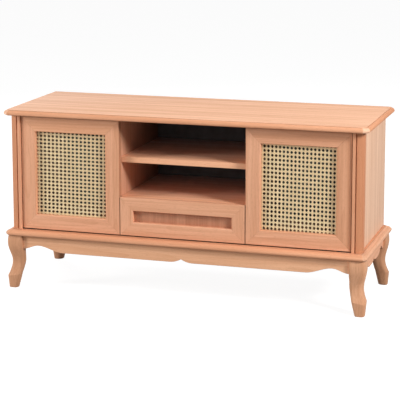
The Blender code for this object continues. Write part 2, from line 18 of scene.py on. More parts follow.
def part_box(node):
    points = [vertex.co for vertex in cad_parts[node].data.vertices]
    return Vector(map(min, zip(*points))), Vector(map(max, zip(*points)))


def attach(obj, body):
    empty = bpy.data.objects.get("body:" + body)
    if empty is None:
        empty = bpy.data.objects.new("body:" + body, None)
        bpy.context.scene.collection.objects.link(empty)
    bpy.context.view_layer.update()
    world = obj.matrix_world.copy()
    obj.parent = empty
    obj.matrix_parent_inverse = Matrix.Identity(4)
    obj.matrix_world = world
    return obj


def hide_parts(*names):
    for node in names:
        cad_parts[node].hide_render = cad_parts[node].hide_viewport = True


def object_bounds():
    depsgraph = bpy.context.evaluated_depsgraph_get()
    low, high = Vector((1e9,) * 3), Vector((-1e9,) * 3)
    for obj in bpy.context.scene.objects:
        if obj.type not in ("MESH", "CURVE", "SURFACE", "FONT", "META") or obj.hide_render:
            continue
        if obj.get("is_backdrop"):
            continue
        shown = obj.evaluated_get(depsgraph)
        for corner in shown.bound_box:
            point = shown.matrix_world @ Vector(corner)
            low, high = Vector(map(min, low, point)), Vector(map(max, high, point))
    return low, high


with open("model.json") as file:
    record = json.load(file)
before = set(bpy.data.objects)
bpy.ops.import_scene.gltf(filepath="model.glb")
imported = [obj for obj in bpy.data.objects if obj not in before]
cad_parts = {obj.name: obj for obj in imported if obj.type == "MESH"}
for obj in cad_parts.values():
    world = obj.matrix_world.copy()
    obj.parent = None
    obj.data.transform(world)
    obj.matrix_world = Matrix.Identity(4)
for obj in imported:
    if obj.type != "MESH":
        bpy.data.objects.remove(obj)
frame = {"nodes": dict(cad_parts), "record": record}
cad_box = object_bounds()
body_of = {node: body for body, nodes in frame["record"]["behaviour"]["bodies"].items() for node in nodes}


# %% [markdown]
# ## Where the camera stands
#
# The photograph was taken from the right and a little above, with a long lens. Its upright edges
# stay almost parallel, as they do when a lens is shifted and not tilted. So this camera looks down
# a little less than a plain one would, and a vertical shift brings the console back into the frame.

# %% Camera
FRAME_PIXELS = 400
FOCAL_PIXELS = 1547.8
CAMERA_PLACE = (1.4756, -4.7171, 1.3856)
CAMERA_AZIMUTH = math.radians(17.332)
CAMERA_PITCH = math.radians(9.575)
CAMERA_ROLL = math.radians(-0.087)
CAMERA_SHIFT = -0.2
SENSOR = 36.0


def make_camera():
    """Turn by the azimuth, tilt down by the pitch, then roll about the line of sight."""
    data = bpy.data.cameras.new("front_right_view")
    data.sensor_width = SENSOR
    data.lens = FOCAL_PIXELS * SENSOR / FRAME_PIXELS
    data.shift_y = CAMERA_SHIFT
    camera = bpy.data.objects.new("front_right_view", data)
    bpy.context.scene.collection.objects.link(camera)
    turn = Matrix.Rotation(CAMERA_AZIMUTH, 4, "Z")
    tilt = Matrix.Rotation(math.pi / 2 - CAMERA_PITCH, 4, "X")
    roll = Matrix.Rotation(CAMERA_ROLL, 4, "Z")
    camera.matrix_world = Matrix.Translation(CAMERA_PLACE) @ turn @ tilt @ roll
    bpy.context.scene.camera = camera
    return camera


camera = make_camera()
print("lens", round(camera.data.lens, 1), "mm")


# %% [markdown]
# ## Skins over rings
#
# Nearly every piece of a cabinet is a section carried along a path: a board, a moulding, a mitred
# bar, even a carved leg. So one helper joins a stack of rings into a closed skin. The rings are one
# numpy array, and the faces are index arithmetic on it, with no loop over points.

# %% Rings and corners
CORNER_STEPS = 4


def skin(rings):
    """Quads between neighbouring rings and one cap at each end, all turned outwards.

    The sign of the volume under the quads, summed from the middle, says which way they face.
    """
    count, points = rings.shape[:2]
    ring, spot = np.meshgrid(np.arange(count - 1) * points, np.arange(points), indexing="ij")
    after = (spot + 1) % points
    quads = np.stack([ring + spot, ring + after, ring + points + after, ring + points + spot], axis=-1)
    quads = quads.reshape(-1, 4)
    caps = np.stack([np.arange(points)[::-1], np.arange(points) + (count - 1) * points])
    places = rings.reshape(-1, 3)
    a, b, c, d = np.moveaxis((places - places.mean(axis=0))[quads], 1, 0)
    if np.sum(a * np.cross(b, c)) + np.sum(a * np.cross(c, d)) < 0:
        quads = quads[:, ::-1]
        caps = caps[:, ::-1]
    return places, quads, caps


def rounded(corners, radii, steps=CORNER_STEPS):
    """Each corner of a polygon swapped for a curve between points a and b, a radius away on its sides:
    (1 - s)^2 a + 2 s (1 - s) corner + s^2 b."""
    corners = np.asarray(corners, dtype=float)
    radii = np.broadcast_to(np.asarray(radii, dtype=float), len(corners))[:, None]
    before = np.roll(corners, 1, axis=0) - corners
    after = np.roll(corners, -1, axis=0) - corners
    start = corners + before / np.linalg.norm(before, axis=1, keepdims=True) * radii
    end = corners + after / np.linalg.norm(after, axis=1, keepdims=True) * radii
    share = np.linspace(0.0, 1.0, steps + 1)[None, :, None]
    curve = (1 - share) ** 2 * start[:, None] + share ** 2 * end[:, None]
    curve = curve + 2 * share * (1 - share) * corners[:, None]
    return curve.reshape(-1, 2)


def ease(share):
    """Level at both ends and steepest in the middle: 3 s^2 - 2 s^3."""
    return share * share * (3.0 - 2.0 * share)


def box_of(node):
    """A CAD node's low and high corners as arrays."""
    low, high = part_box(node)
    return np.array(low), np.array(high)


print("a rounded square has", len(rounded([(0, 0), (1, 0), (1, 1), (0, 1)], 0.1)), "points")


# %% [markdown]
# ## Pieces with their own grain
#
# Wood is a solid texture, and each part of a cabinet is cut from its own plank. So every piece stores
# its own grain coordinates on its points: first along the fibres, then across the face, then through
# the thickness, measured from the piece's middle and started at its own place along the tree. The
# wood finish reads only these, so the figure follows each part and stays with it when a door swings.
# Broad faces stay flat and only the small rounds are shaded smooth, which keeps planed wood looking
# planed.

# %% Wooden pieces
AXES = "XYZ"
FLAT_OVER = 0.006
SMOOTH_ANGLE = math.radians(40)
PLANK_STEP = 1.37
HEART_SWING, HEART_TURN = 0.018, 2.4
TINT_SWING, TINT_TURN, TINT_START = 0.020, 1.7, 0.6
BEECH_TINT = (1.0, 1.0, 1.0)
wooden_pieces = []


def store_vectors(mesh, name, values):
    """One vector on each point of a mesh."""
    layer = mesh.attributes.new(name, "FLOAT_VECTOR", "POINT")
    layer.data.foreach_set("vector", np.ascontiguousarray(values, dtype=np.float32).ravel())


def place_piece(name, mesh, material, slot, *nodes):
    """Put a finished mesh on the body of the CAD nodes that it stands for."""
    mesh.materials.append(material)
    mesh.update()
    piece = bpy.data.objects.new(name, mesh)
    bpy.context.scene.collection.objects.link(piece)
    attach(piece, body_of[nodes[0]])
    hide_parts(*nodes)
    return piece


def wooden_piece(node, rings, grain, material, tint=BEECH_TINT, slot="beech", flat_over=FLAT_OVER,
                 turned=None):
    """A closed wooden skin for one CAD node. grain names the axes along, across and through the plank.
    Where turned is true, the plank runs across. The heart's place and the plank's shade swing with the
    sine of the piece's number."""
    places, quads, caps = skin(rings)
    mesh = bpy.data.meshes.new(f"{node}_wood")
    mesh.from_pydata(places.tolist(), [], quads.tolist() + caps.tolist())
    sides = np.linalg.norm(places[quads] - places[np.roll(quads, -1, axis=1)], axis=2)
    broad = sides.min(axis=1) > flat_over
    mesh.polygons.foreach_set("use_smooth", np.concatenate([~broad, np.zeros(len(caps), dtype=bool)]))
    mesh.set_sharp_from_angle(angle=SMOOTH_ANGLE)
    seed = len(wooden_pieces)
    order = [AXES.index(letter) for letter in grain]
    middle = (places.min(axis=0) + places.max(axis=0)) / 2
    start = np.array([PLANK_STEP * seed, HEART_SWING * math.sin(HEART_TURN * seed), 0.0])
    plank = (places - middle)[:, order]
    if turned is not None:
        plank[turned] = plank[turned][:, [1, 0, 2]]
    store_vectors(mesh, "grain", plank + start)
    shade = 1.0 + TINT_SWING * math.sin(TINT_TURN * seed + TINT_START)
    store_vectors(mesh, "tint", np.broadcast_to(np.array(tint) * shade, places.shape))
    piece = place_piece(f"{node}_wood", mesh, material, slot, node)
    wooden_pieces.append(piece)
    return piece


print("plank offsets", PLANK_STEP, "m apart")


# %% [markdown]
# ## Finishes from noise
#
# A finish is a small network of shader nodes: noise goes in, and a colour, a roughness and a fine relief
# come out. Linking nodes one by one takes many lines, so a few helpers turn each node into a call that
# reads like the arithmetic it does. No finish uses an image, so none has a seam and all stay sharp from
# close by.

# %% Finish helpers
NOISE_RANGE = (0.2, 0.8)
MOST_NOISE = (0.3, 0.7)


def socket(tree, kind, inputs, output=0, **settings):
    """Add a shader node, set or link its inputs, and give back one of its outputs."""
    made = tree.nodes.new(kind)
    for key, value in settings.items():
        setattr(made, key, value)
    for key, value in inputs.items():
        if isinstance(value, bpy.types.NodeSocket):
            tree.links.new(value, made.inputs[key])
        else:
            made.inputs[key].default_value = value
    return made.outputs[output]


def maths(tree, operation, first, second=0.0, clamp=False):
    """One step of arithmetic."""
    return socket(tree, "ShaderNodeMath", {0: first, 1: second}, operation=operation, use_clamp=clamp)


def noise(tree, vector, scale, detail=2.0):
    """Noise with its own scale along each axis, per metre."""
    stretched = socket(tree, "ShaderNodeMapping", {"Vector": vector, "Scale": scale})
    return socket(tree, "ShaderNodeTexNoise", {"Vector": stretched, "Scale": 1.0, "Detail": detail})


def spread(tree, value, source, target):
    """A value carried from one range to another, and held at its ends."""
    return socket(tree, "ShaderNodeMapRange", {
        "Value": value, "From Min": source[0], "From Max": source[1],
        "To Min": target[0], "To Max": target[1]})


def mixed(tree, factor, first, second):
    """A colour between two colours."""
    return socket(tree, "ShaderNodeMix", {0: factor, 6: first, 7: second}, 2, data_type="RGBA")


def new_material(name):
    """An empty node material, with its tree and its Principled shader."""
    material = bpy.data.materials.new(name)
    material.use_nodes = True
    return material, material.node_tree, material.node_tree.nodes["Principled BSDF"]


def link_finish(tree, shader, colour, gloss, relief, strength, depth):
    """Carry a colour, a roughness and a relief, as bumps of the given depth, to the shader."""
    bump = socket(tree, "ShaderNodeBump", {"Height": relief, "Strength": strength, "Distance": depth})
    for name, value in (("Base Color", colour), ("Roughness", gloss), ("Normal", bump)):
        tree.links.new(value, shader.inputs[name])


print("most noise lies between", *MOST_NOISE)


# %% [markdown]
# ## Raw beech
#
# Beech is a pale, pinkish wood with a quiet figure: soft bands of colour along the fibres, faint
# growth rings, and thousands of short dark flecks. A painted stripe would not turn a corner, so this
# finish is a solid one. The rings are cylinders about the heart of the tree, bent by stretched noise,
# and a face simply cuts through them. Wide boards are glued from staves, each from another plank.

# %% Wood finish
STAVE_WIDTH = 0.086
STAVE_JUMP = 7.0
STAVE_SWING = 0.18
HEART_DEPTH = 0.055
RING_SPACING = 0.0042
RING_BEND = 0.034
RING_FADE = 2.2
RING_SHARE = 0.32
BEND_SCALE = (1.6, 9.0, 9.0)
BAND_SCALE = (1.3, 34.0, 34.0)
STREAK_SCALE = (2.2, 125.0, 125.0)
FIBRE_SCALE = (9.0, 520.0, 520.0)
FIBRE_SWING = 0.15
FLECK_SCALE = (85.0, 760.0, 760.0)
FLECK_RANGE = (0.60, 0.72)
FLECK_DEPTH = 0.34
QUIET_FIGURE = ((0.04, 0.72), 0.26)
BOLD_FIGURE = ((-0.06, 0.88), 0.34)
WOOD_ROUGHNESS = 0.68
GLOSS_SWING = 0.08
WOOD_SPECULAR = 0.28


def plank_position(tree, staves):
    """Along, across and through the plank. With staves, each strip has its own middle and start."""
    grain = socket(tree, "ShaderNodeAttribute", {}, "Vector", attribute_name="grain")
    if not staves:
        return grain, None
    parts = tree.nodes.new("ShaderNodeSeparateXYZ")
    tree.links.new(grain, parts.inputs[0])
    along, across, through = parts.outputs
    strip = maths(tree, "FLOOR", maths(tree, "DIVIDE", across, STAVE_WIDTH))
    chance = socket(tree, "ShaderNodeTexWhiteNoise", {"W": strip}, "Value", noise_dimensions="1D")
    middle = maths(tree, "MULTIPLY", maths(tree, "ADD", strip, chance), STAVE_WIDTH)
    along = maths(tree, "ADD", along, maths(tree, "MULTIPLY", chance, STAVE_JUMP))
    across = maths(tree, "SUBTRACT", across, middle)
    return socket(tree, "ShaderNodeCombineXYZ", {0: along, 1: across, 2: through}), chance


def growth_rings(tree, plank):
    """Distance from the heart, bent by noise, cut into rings that darken to their outer edge with a
    power of the way through the ring."""
    bend = noise(tree, plank, BEND_SCALE)
    shifted = socket(tree, "ShaderNodeMapping", {
        "Vector": plank, "Location": (0.0, 0.0, HEART_DEPTH), "Scale": (0.0, 1.0, 1.0)})
    reach = socket(tree, "ShaderNodeVectorMath", {0: shifted}, "Value", operation="LENGTH")
    reach = maths(tree, "ADD", reach, maths(tree, "MULTIPLY", bend, RING_BEND))
    ring = maths(tree, "FRACT", maths(tree, "DIVIDE", reach, RING_SPACING))
    return maths(tree, "POWER", ring, RING_FADE)


def wood_material(name, pale, dark, fleck, staves=False):
    """Beech from bands, streaks, rings, fibres and flecks, in the plank's own position. Their sum goes
    from pale to dark. Staved boards have the bolder figure."""
    material, tree, shader = new_material(name)
    plank, chance = plank_position(tree, staves)
    band_range, swing = BOLD_FIGURE if staves else QUIET_FIGURE
    bands = spread(tree, noise(tree, plank, BAND_SCALE, detail=4.0), MOST_NOISE, band_range)
    rings = maths(tree, "MULTIPLY", growth_rings(tree, plank), RING_SHARE)
    streaks = spread(tree, noise(tree, plank, STREAK_SCALE), MOST_NOISE, (-swing, swing))
    fibres = noise(tree, plank, FIBRE_SCALE)
    flecks = spread(tree, noise(tree, plank, FLECK_SCALE, detail=1.0), FLECK_RANGE, (0.0, FLECK_DEPTH))
    fine = maths(tree, "ADD", streaks, spread(tree, fibres, MOST_NOISE, (-FIBRE_SWING, FIBRE_SWING)))
    figure = maths(tree, "ADD", maths(tree, "ADD", bands, rings), fine)
    if staves:
        own_shade = spread(tree, chance, (0.0, 1.0), (-STAVE_SWING, STAVE_SWING))
        figure = maths(tree, "ADD", figure, own_shade)
    figure = maths(tree, "MULTIPLY", figure, 1.0, clamp=True)
    colour = mixed(tree, flecks, mixed(tree, figure, pale, dark), fleck)
    # The tint carries each plank's own shade and, on many pieces, painted light and shade.
    tint = socket(tree, "ShaderNodeAttribute", {}, "Vector", attribute_name="tint")
    colour = socket(tree, "ShaderNodeVectorMath", {0: colour, 1: tint}, operation="MULTIPLY")
    gloss = spread(tree, fibres, NOISE_RANGE, (WOOD_ROUGHNESS - GLOSS_SWING, WOOD_ROUGHNESS + GLOSS_SWING))
    relief = maths(tree, "SUBTRACT", fibres, flecks)
    link_finish(tree, shader, colour, gloss, relief, strength=0.25, depth=0.0003)
    shader.inputs["Specular IOR Level"].default_value = WOOD_SPECULAR
    return material


BEECH_COLOURS = ((0.925, 0.487, 0.297, 1.0), (0.75, 0.352, 0.194, 1.0), (0.55, 0.235, 0.12, 1.0))
PANEL_COLOURS = ((0.59, 0.28, 0.165, 1.0), (0.47, 0.20, 0.11, 1.0), (0.32, 0.13, 0.07, 1.0))
beech = wood_material("raw_beech", *BEECH_COLOURS)
glued_beech = wood_material("raw_beech_staves", *BEECH_COLOURS, staves=True)
panel_wood = wood_material("recess_panel_wood", *PANEL_COLOURS)
print("wood finishes:", beech.name, glued_beech.name, panel_wood.name)


# %% [markdown]
# ## The moulding
#
# The top is one wide board whose front and ends are run with a moulding: a small step, then a thumb
# round, which falls to its nose and turns back under it. The base has the same moulding with a smaller
# step. A bevel modifier can't give that shape, so the moulding is a section of (inset, drop) pairs.
# Painted shade darkens the step and the underside of the nose.

# %% Moulding section
TOP_MOULD, TOP_QUIRK, TOP_UNDERCUT = 0.011, 0.002, 0.006
BASE_MOULD, BASE_QUIRK, BASE_UNDERCUT = 0.0205, 0.0012, 0.008
THUMB_STEPS = 12
EDGE_EASE = 0.0006
EASE_STEPS = 3
# Painted shade: the step and the underside of the nose are darkened by these factors.
PAINTED_STEP_SHADE = 0.55
PAINTED_UNDER_NOSE_SHADE = 0.42
UNDER_ROWS = 8


def thumb_round(mould, start, end, undercut):
    """A quarter ellipse down to the nose and a quarter circle back under it, as (inset, drop)."""
    turn = np.linspace(0.0, math.pi / 2, THUMB_STEPS + 1)
    nose = end - undercut
    fall = np.column_stack([mould * (1 - np.sin(turn)), start + (nose - start) * (1 - np.cos(turn))])
    under = np.column_stack([undercut * (1 - np.cos(turn)), nose + undercut * np.sin(turn)])
    return np.concatenate([fall, under[1:]])


def stepped_round(mould, quirk, thickness, undercut):
    """Eased edge, step and thumb round. The third column is a painted shade factor: it drops in the step
    and falls, in a straight line, on the way back under the nose."""
    turn = np.linspace(0.0, math.pi / 2, EASE_STEPS + 1)
    edge = np.column_stack([mould + EDGE_EASE * (1 - np.sin(turn)), EDGE_EASE * (1 - np.cos(turn))])
    section = np.concatenate([edge, thumb_round(mould, quirk, thickness, undercut)])
    # Painted shade in the step and under the nose.
    painted_shade_factor = np.ones(len(section))
    painted_shade_factor[len(edge)] = PAINTED_STEP_SHADE
    painted_shade_factor[-UNDER_ROWS:] = np.linspace(1.0, PAINTED_UNDER_NOSE_SHADE, UNDER_ROWS)
    return np.column_stack([section, painted_shade_factor])


print("the moulding turns in", 2 * THUMB_STEPS, "steps")


# %% [markdown]
# ## Top and base
#
# Each pair of the section becomes one ring of the board's outline, drawn in by the inset. The front
# corners are canted, and a plain inset would leave them too wide on the inner rings, so the cant shrinks
# with it. On the ends the moulding's fibres run along the edge, as on a strip that is glued on. The top's
# face is tinted paler as a painted sheen, the cants and the base's ends paler as painted light, and the
# rest of the moulding and the base's face darker as painted shade. On the base a band of painted shade
# lies under the doors.

# %% Moulded boards
TOP_CANT, BASE_CANT = 0.018, 0.012
CANT_ROUND = 0.0035
CANT_TIGHTEN = 0.2
CANT_LEAST = 0.003
CANT_STEPS = 6
END_POINTS = CANT_STEPS * 3 // 2 + 1
EDGE_RUNS = (END_POINTS, CANT_STEPS + 2, CANT_STEPS, CANT_STEPS + 2, END_POINTS)
BACK_ROUND = 0.001
# Painted light and shade: a paler sheen on the top face, paler cants and base ends, a darker moulding and
# base face.
TOP_SHEEN_TINT = (1.04, 1.16, 1.24)
MOULD_SHADE_TINT = (0.92, 0.86, 0.80)
BASE_SHADE_TINT = (0.82, 0.74, 0.68)
BASE_END_LIGHT_TINT = (0.92, 0.97, 1.0)
CANT_LIGHT_TINT = (1.04, 1.18, 1.28)
# Painted shade: the band on the base under the doors and the cupboards' floor behind it.
UNDER_DOOR_SHADE_TINT = (0.30, 0.28, 0.26)
CUPBOARD_FLOOR_SHADE_TINT = (0.54, 0.52, 0.50)
UNDER_DOOR_SHADE_WIDTH = 0.022


def canted_ring(low, high, cant, inset, height):
    """The board's outline drawn in from front and ends, with canted, softened front corners. Drawing in
    by d shortens a cant's legs by (2 - sqrt 2) d, so that its face moves in by d too."""
    left, right, front = low[0] + inset, high[0] - inset, low[1] + inset
    cut = max(cant - inset * (2 - math.sqrt(2)), CANT_LEAST)
    corners = [(left, high[1]), (left, front + cut), (left + cut, front), (right - cut, front),
               (right, front + cut), (right, high[1])]
    soft = max(CANT_ROUND - CANT_TIGHTEN * inset, BACK_ROUND)
    outline = rounded(corners, [BACK_ROUND, soft, soft, soft, soft, BACK_ROUND], CANT_STEPS)
    return np.column_stack([outline, np.full(len(outline), height)])


def painted_edge_tints(front_tint, cant_tint, end_tint):
    """The tint of each point of an outline: left end, cant, front, cant and right end, with as many
    points in each as EDGE_RUNS says."""
    return np.repeat([end_tint, cant_tint, front_tint, cant_tint, end_tint], EDGE_RUNS, axis=0)


def moulded_board(node, cant, shape, painted_face_tint, edge, shade_from=None):
    """Rings of the outline, one for each step of the section. The face, and the moulding on the front,
    cants and ends, each carry their own painted light and shade. Where an inset for the doors is given,
    the top face behind it carries painted shade, which goes over to the painted shade of the cupboards'
    floor."""
    low, high = box_of(node)
    mould, quirk, undercut = shape
    section = stepped_round(mould, quirk, high[2] - low[2], undercut)
    if shade_from is not None:
        steps = (shade_from + UNDER_DOOR_SHADE_WIDTH, shade_from + EDGE_EASE, shade_from)
        section = np.concatenate([[(inset, 0.0, 1.0) for inset in steps], section])
    rings = np.stack([canted_ring(low, high, cant, inset, high[2] - drop) for inset, drop, _ in section])
    on_face = (section[:, 0] >= mould) & (section[:, 1] < quirk)
    # The face and the moulding get their painted light and shade, darkened further in the step and under the
    # nose.
    tint = np.where(on_face[:, None, None], painted_face_tint, painted_edge_tints(*edge)) * section[:, 2][:, None, None]
    # Painted shade on the base under the doors.
    if shade_from is not None:
        tint[0] = CUPBOARD_FLOOR_SHADE_TINT
        tint[1] = UNDER_DOOR_SHADE_TINT
    at_end = np.repeat([True, False, False, False, True], EDGE_RUNS)
    turned = ~on_face[:, None] & at_end
    return wooden_piece(node, rings, "XYZ", glued_beech, tint.reshape(-1, 3), turned=turned.ravel())


under_doors = box_of("left_door_outer_stile")[0][1] - box_of("base_board")[0][1]
top = moulded_board("top_board", TOP_CANT, (TOP_MOULD, TOP_QUIRK, TOP_UNDERCUT), TOP_SHEEN_TINT,
                    (MOULD_SHADE_TINT, CANT_LIGHT_TINT, MOULD_SHADE_TINT))
base = moulded_board("base_board", BASE_CANT, (BASE_MOULD, BASE_QUIRK, BASE_UNDERCUT), BASE_SHADE_TINT,
                     (MOULD_SHADE_TINT, BASE_END_LIGHT_TINT, BASE_END_LIGHT_TINT), under_doors)
for piece in (top, base):
    print(piece.name, len(piece.data.polygons), "faces")


# %% [markdown]
# ## Plain boards
#
# Sides, partitions, shelves, the drawer box and the beads behind the cane are plain boards, and a
# plain box would look cut from paper. A joiner breaks every edge with sandpaper. So each board is a
# stack of rounded rectangles along its grain, drawn in on a quarter circle at both ends. Painted shade
# darkens and greys the bay's walls and shelves towards the back and makes the cupboards behind the
# cane darker than the outside. Painted light makes the side panels paler and the shelves' fronts
# lighter.

# %% Eased boards
BOARD_EASE = 0.001
BEAD_EASE = 0.0006
THIN_EASE = 0.0004
SHARPEST = 0.00005
# Painted light and shade: paler side panels, a bay that darkens and greys towards the back, lighter shelf
# fronts, darker cupboards.
SIDE_LIGHT_TINT = (1.01, 1.27, 1.47)
BAY_SHADE_TINT = (0.86, 0.86, 0.90)
BAY_WALL_SHADE_TINT = (0.26, 0.28, 0.33)
SHELF_LIGHT_TINT = (1.08, 1.08, 1.04)
SHELF_BACK_SHADE_TINT = (0.66, 1.10, 1.85)
CUPBOARD_SHADE_TINT = (0.40, 0.40, 0.40)


def board_rings(low, high, radius, run):
    """Rounded rectangles across the run. At angle t from an end, the step in is r (1 - cos t) and the
    inset r (1 - sin t)."""
    across = [axis for axis in range(3) if axis != run]
    turn = np.linspace(0.0, math.pi / 2, CORNER_STEPS + 1)
    inset = radius * (1 - np.sin(turn))
    step = radius * (1 - np.cos(turn))
    rings = []
    for place, draw in [*zip(low[run] + step, inset), *zip(high[run] - step[::-1], inset[::-1])]:
        (left, bottom), (right, top) = low[across] + draw, high[across] - draw
        outline = rounded([(left, bottom), (right, bottom), (right, top), (left, top)],
                          max(radius - draw, SHARPEST))
        ring = np.full((len(outline), 3), place)
        ring[:, across] = outline
        rings.append(ring)
    return np.stack(rings)


def eased_board(node, grain, material, radius=BOARD_EASE, slot="beech", tint=BEECH_TINT, back_shade_tint=None):
    """One plain board with broken edges, its rings stacked along the grain. Where a back tint is given,
    as painted shade, its tint goes over to it in a straight line from its front edge to its back edge."""
    low, high = box_of(node)
    rings = board_rings(low, high, radius, AXES.index(grain[0]))
    share = (rings.reshape(-1, 3)[:, 1:2] - low[1]) / (high[1] - low[1])
    back = np.array(tint if back_shade_tint is None else back_shade_tint)
    return wooden_piece(node, rings, grain, material, np.array(tint) * (1 - share) + back * share, slot)


def retint(piece, chosen, factor):
    """Multiply the tint of the chosen points of a piece."""
    layer = piece.data.attributes["tint"].data
    tint = np.empty(3 * len(layer))
    layer.foreach_get("vector", tint)
    tint = np.where(chosen[:, None], tint.reshape(-1, 3) * factor, tint.reshape(-1, 3))
    layer.foreach_set("vector", tint.astype(np.float32).ravel())


def points_of(piece):
    """The places of a piece's points as one array."""
    places = np.empty(3 * len(piece.data.vertices))
    piece.data.vertices.foreach_get("co", places)
    return places.reshape(-1, 3)


for side, sign in (("left", -1.0), ("right", 1.0)):
    panel = eased_board(f"{side}_side_panel", "ZYX", glued_beech, tint=SIDE_LIGHT_TINT)
    wall = eased_board(f"{side}_partition", "ZYX", beech, tint=BAY_SHADE_TINT, back_shade_tint=BAY_WALL_SHADE_TINT)
    # Painted shade: the halves of the sides and partitions that face into the cupboards are darker.
    for piece, inner in ((panel, -sign), (wall, sign)):
        reach = points_of(piece)[:, 0] * inner
        retint(piece, reach > (reach.min() + reach.max()) / 2, CUPBOARD_SHADE_TINT)
    eased_board(f"drawer_{side}_side", "YZX", beech)
    for place, grain in (("outer", "ZXY"), ("inner", "ZXY"), ("top", "XZY"), ("bottom", "XZY")):
        eased_board(f"{side}_door_{place}_bead", grain, beech, BEAD_EASE)
# Painted light at the shelves' fronts and painted shade towards their backs.
for node in ("open_shelf", "drawer_divider"):
    eased_board(node, "XYZ", glued_beech, tint=SHELF_LIGHT_TINT, back_shade_tint=SHELF_BACK_SHADE_TINT)
for node in ("rear_apron", "drawer_back"):
    eased_board(node, "XZY", beech)
eased_board("drawer_front_panel", "ZXY", panel_wood, BEAD_EASE, "panel_wood")
print(len(wooden_pieces), "wooden pieces so far")


# %% [markdown]
# ## Posts
#
# The front corners are posts. Seen from above, each has a narrow flat strip beside the door, then a
# deep groove, then a face canted back to the side. Painted shade makes the posts darker than the
# doors, the right post more than the left and the strips less than the rest. The outline is drawn once
# for the right post and mirrored for the left, with each arris rounded by its own radius, then carried
# straight up. Each post is of its own plank.

# %% Corner posts
POST_STRIP = 0.010
POST_GROOVE = 0.0035
POST_GROOVE_DEPTH = 0.006
POST_CHAMFER = 0.011
# Painted shade: the posts darker than the doors, the right one more, and their strips less.
POST_SHADE_TINTS = {"left": (0.83, 0.70, 0.60), "right": (0.74, 0.60, 0.50)}
STRIP_SHADE_TINTS = {"left": (1.0, 0.93, 0.88), "right": (0.92, 0.84, 0.78)}
POST_ROUNDS = (0.0012, 0.0008, 0.0004, 0.0004, 0.0008, 0.0020, 0.0008, 0.0008)


def corner_post(node, sign, strip_shade, post_shade):
    """The outline, out from the door's side to the outer face, carried from the base to the top."""
    low, high = box_of(node)
    width = high[0] - low[0]
    depth = high[1] - low[1]
    past = POST_STRIP + POST_GROOVE
    outline = [(0.0, 0.0), (POST_STRIP, 0.0), (POST_STRIP, POST_GROOVE_DEPTH), (past, POST_GROOVE_DEPTH),
               (past, 0.0), (width, POST_CHAMFER), (width, depth), (0.0, depth)]
    flat = rounded(outline, POST_ROUNDS)
    inner = low[0] if sign > 0 else high[0]
    flat = np.column_stack([inner + sign * flat[:, 0], low[1] + flat[:, 1]])
    rings = np.stack([np.column_stack([flat, np.full(len(flat), height)]) for height in (low[2], high[2])])
    strip = (np.abs(flat[:, :1] - inner) < POST_STRIP) & (flat[:, 1:] < low[1] + POST_GROOVE_DEPTH / 4)
    tint = np.where(strip, strip_shade, post_shade)
    return wooden_piece(node, rings, "ZXY", beech, np.tile(tint, (2, 1)))


for side, sign in (("left", -1.0), ("right", 1.0)):
    piece = corner_post(f"front_{side}_post", sign, STRIP_SHADE_TINTS[side], POST_SHADE_TINTS[side])
    print(piece.name, len(piece.data.polygons), "faces")


# %% [markdown]
# ## Cabriole legs
#
# A cabriole leg is sawn from a square block with the same curve on both outer faces: a full knee under
# the top, a slim ankle, a toe with a crisp ridge and a foot that tapers down. A curve drawn by hand
# would need many points, so a formula in the height gives the outer and inner reach. The levels crowd
# together at the foot's edge and at the ridge.

# %% Leg curve
LEG_WIDTH = 0.052
LEG_TOP_OUT = 0.049
LEG_KNEE_HEIGHT = 0.147
LEG_ANKLE_HEIGHT = 0.084
LEG_ANKLE_OUT = 0.0425
LEG_TOE_HEIGHT = 0.0395
LEG_TOE_OUT = 0.0531
LEG_TOE_CURVE = 1.7
LEG_FOOT_OUT = 0.0502
LEG_FOOT_IN = 0.0202
LEG_FOOT_EASE = 0.0012
LEG_EASE_SHARES = (0.0, 0.1, 0.3, 0.6, 1.0)
LEG_RIDGE_HALF = 0.0006
LEG_RIDGE_LEVELS = (-0.0002, 0.0, 0.0002, LEG_RIDGE_HALF)
LEG_RINGS_BELOW, LEG_RINGS_ABOVE = 12, 60
LEG_SWEEP_HEIGHT = 0.090
LEG_SWEEP_CURVE = 1.3


def leg_reach(height, full):
    """Outer reach: a line up the foot, a power curve down from the toe to the ankle, an ease out to the
    knee, a slight turn in above it. Inner reach: the foot's sweep, which dies out above the ankle."""
    foot = height / LEG_TOE_HEIGHT
    toe = np.clip((LEG_ANKLE_HEIGHT - height) / (LEG_ANKLE_HEIGHT - LEG_TOE_HEIGHT), 0.0, 1.0)
    knee = np.clip((height - LEG_ANKLE_HEIGHT) / (LEG_KNEE_HEIGHT - LEG_ANKLE_HEIGHT), 0.0, 1.0)
    head = (height - LEG_KNEE_HEIGHT) / (full - LEG_KNEE_HEIGHT)
    out = np.select(
        [height <= LEG_TOE_HEIGHT, height <= LEG_ANKLE_HEIGHT, height <= LEG_KNEE_HEIGHT],
        [LEG_FOOT_OUT + (LEG_TOE_OUT - LEG_FOOT_OUT) * foot,
         LEG_ANKLE_OUT + (LEG_TOE_OUT - LEG_ANKLE_OUT) * toe ** LEG_TOE_CURVE,
         LEG_ANKLE_OUT + (LEG_WIDTH - LEG_ANKLE_OUT) * ease(knee)],
        LEG_WIDTH + (LEG_TOP_OUT - LEG_WIDTH) * head * head)
    sweep = np.clip(1.0 - height / LEG_SWEEP_HEIGHT, 0.0, 1.0)
    return out, LEG_FOOT_IN * sweep ** LEG_SWEEP_CURVE


